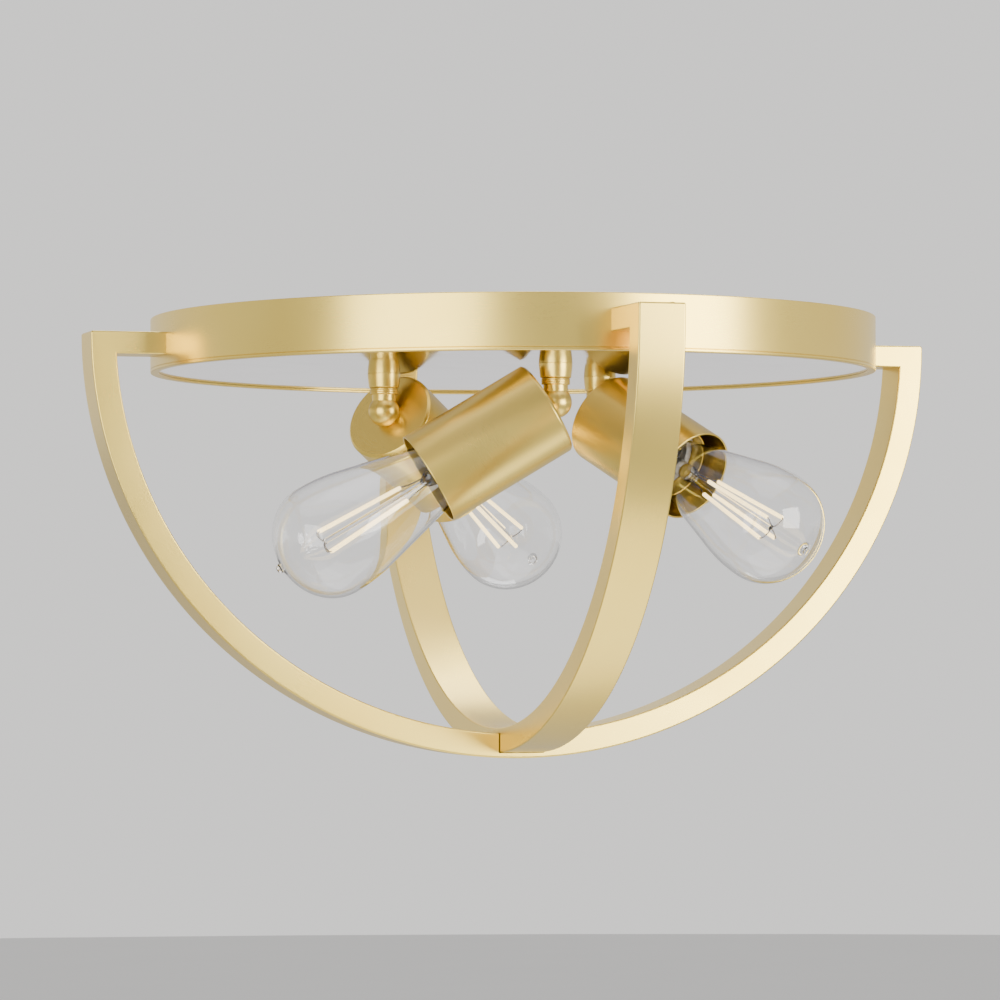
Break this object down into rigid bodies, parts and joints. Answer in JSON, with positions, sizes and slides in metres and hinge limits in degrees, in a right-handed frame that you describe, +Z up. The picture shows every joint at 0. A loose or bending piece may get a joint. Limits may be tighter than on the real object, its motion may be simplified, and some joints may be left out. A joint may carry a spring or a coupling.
{
  "type": "semi flush ceiling light",
  "caption": "Semi flush ceiling light: a shallow round gold band with two crossed half hoops below it, and swivelling cup lampholders with long clear filament bulbs.",
  "frame": {"origin": "centre of the pan's ceiling face, midway between the two outlet box slots, on the axis of the round band", "axes": "+Z up into the ceiling, X along the lower hoop and the line of the outlet box slots, Y along the upper hoop"},
  "size_m": [0.439, 0.439, 0.2204],
  "materials": {
    "satin_gold": "satin champagne gold plating on steel",
    "zinc_steel": "zinc plated steel",
    "green_steel": "green plated earth screw",
    "mirror_steel": "mirror polished steel",
    "phenolic": "moulded lampholder body",
    "brass": "bare brass",
    "insulator": "black insulator with a soldered button",
    "cap_metal": "nickel plated cap",
    "clear_glass": "clear glass",
    "filament": "yellow coated light sticks"
  },
  "bodies": {
    "fixture": {"ceiling_pan": "zinc_steel", "side_screws": "satin_gold", "ground_screw": "green_steel", "drum_band": "satin_gold", "mirror_plate": "mirror_steel", "hoop_upper": "satin_gold", "hoop_lower": "satin_gold", "arm_plugs": "zinc_steel", "arm_screws": "zinc_steel", "arm_washers": "zinc_steel", "friction_washers": "zinc_steel", "collar_a": "satin_gold", "collar_b": "satin_gold", "collar_c": "satin_gold"},
    "lamp_a": {"swivel_nut_a": "zinc_steel", "stem_tube_a": "zinc_steel", "ball_elbow_a": "satin_gold", "side_tube_a": "zinc_steel", "cup_a": "satin_gold", "cup_nut_a": "zinc_steel", "lampholder_a": "phenolic", "holder_sleeve_a": "satin_gold", "screw_shell_a": "brass", "centre_tab_a": "brass"},
    "bulb_seat_a": {"bulb_button_a": "insulator"},
    "bulb_a": {"bulb_cap_a": "cap_metal", "bulb_glass_a": "clear_glass", "glass_mount_a": "clear_glass", "filaments_a": "filament"},
    "lamp_b": {"swivel_nut_b": "zinc_steel", "stem_tube_b": "zinc_steel", "ball_elbow_b": "satin_gold", "side_tube_b": "zinc_steel", "cup_b": "satin_gold", "cup_nut_b": "zinc_steel", "lampholder_b": "phenolic", "holder_sleeve_b": "satin_gold", "screw_shell_b": "brass", "centre_tab_b": "brass"},
    "bulb_seat_b": {"bulb_button_b": "insulator"},
    "bulb_b": {"bulb_cap_b": "cap_metal", "bulb_glass_b": "clear_glass", "glass_mount_b": "clear_glass", "filaments_b": "filament"},
    "lamp_c": {"swivel_nut_c": "zinc_steel", "stem_tube_c": "zinc_steel", "ball_elbow_c": "satin_gold", "side_tube_c": "zinc_steel", "cup_c": "satin_gold", "cup_nut_c": "zinc_steel", "lampholder_c": "phenolic", "holder_sleeve_c": "satin_gold", "screw_shell_c": "brass", "centre_tab_c": "brass"},
    "bulb_seat_c": {"bulb_button_c": "insulator"},
    "bulb_c": {"bulb_cap_c": "cap_metal", "bulb_glass_c": "clear_glass", "glass_mount_c": "clear_glass", "filaments_c": "filament"}
  },
  "joints": [
    {"name": "swivel_a", "type": "hinge", "parent": "fixture", "child": "lamp_a", "pos_m": [-0.05811, 0.03355, -0.033], "axis": [0, 0, 1], "range_deg": [-15, 10]},
    {"name": "bulb_travel_a", "type": "slide", "parent": "lamp_a", "child": "bulb_seat_a", "axis": [0.6871, 0.5545, -0.4695], "range_m": [0, 0.0219]},
    {"name": "bulb_turn_a", "type": "hinge", "parent": "bulb_seat_a", "child": "bulb_a", "pos_m": [-0.05811, 0.03355, -0.0448], "axis": [0.6871, 0.5545, -0.4695], "range_deg": [0, 2160]},
    {"name": "swivel_b", "type": "hinge", "parent": "fixture", "child": "lamp_b", "pos_m": [0, -0.0671, -0.033], "axis": [0, 0, 1], "range_deg": [-15, 15]},
    {"name": "bulb_travel_b", "type": "slide", "parent": "lamp_b", "child": "bulb_seat_b", "axis": [-0.8414, 0.1636, -0.515], "range_m": [0, 0.0219]},
    {"name": "bulb_turn_b", "type": "hinge", "parent": "bulb_seat_b", "child": "bulb_b", "pos_m": [0, -0.0671, -0.0448], "axis": [-0.8414, 0.1636, -0.515], "range_deg": [0, 2160]},
    {"name": "swivel_c", "type": "hinge", "parent": "fixture", "child": "lamp_c", "pos_m": [0.05811, 0.03355, -0.033], "axis": [0, 0, 1], "range_deg": [-15, 15]},
    {"name": "bulb_travel_c", "type": "slide", "parent": "lamp_c", "child": "bulb_seat_c", "axis": [0.3999, -0.7917, -0.4617], "range_m": [0, 0.0219]},
    {"name": "bulb_turn_c", "type": "hinge", "parent": "bulb_seat_c", "child": "bulb_c", "pos_m": [0.05811, 0.03355, -0.0448], "axis": [0.3999, -0.7917, -0.4617], "range_deg": [0, 2160]}
  ],
  "couplings": [
    {"joint": "bulb_travel_a", "follows": "bulb_turn_a", "m_per_rad": 0.00057751},
    {"joint": "bulb_travel_b", "follows": "bulb_turn_b", "m_per_rad": 0.00057751},
    {"joint": "bulb_travel_c", "follows": "bulb_turn_c", "m_per_rad": 0.00057751}
  ]
}
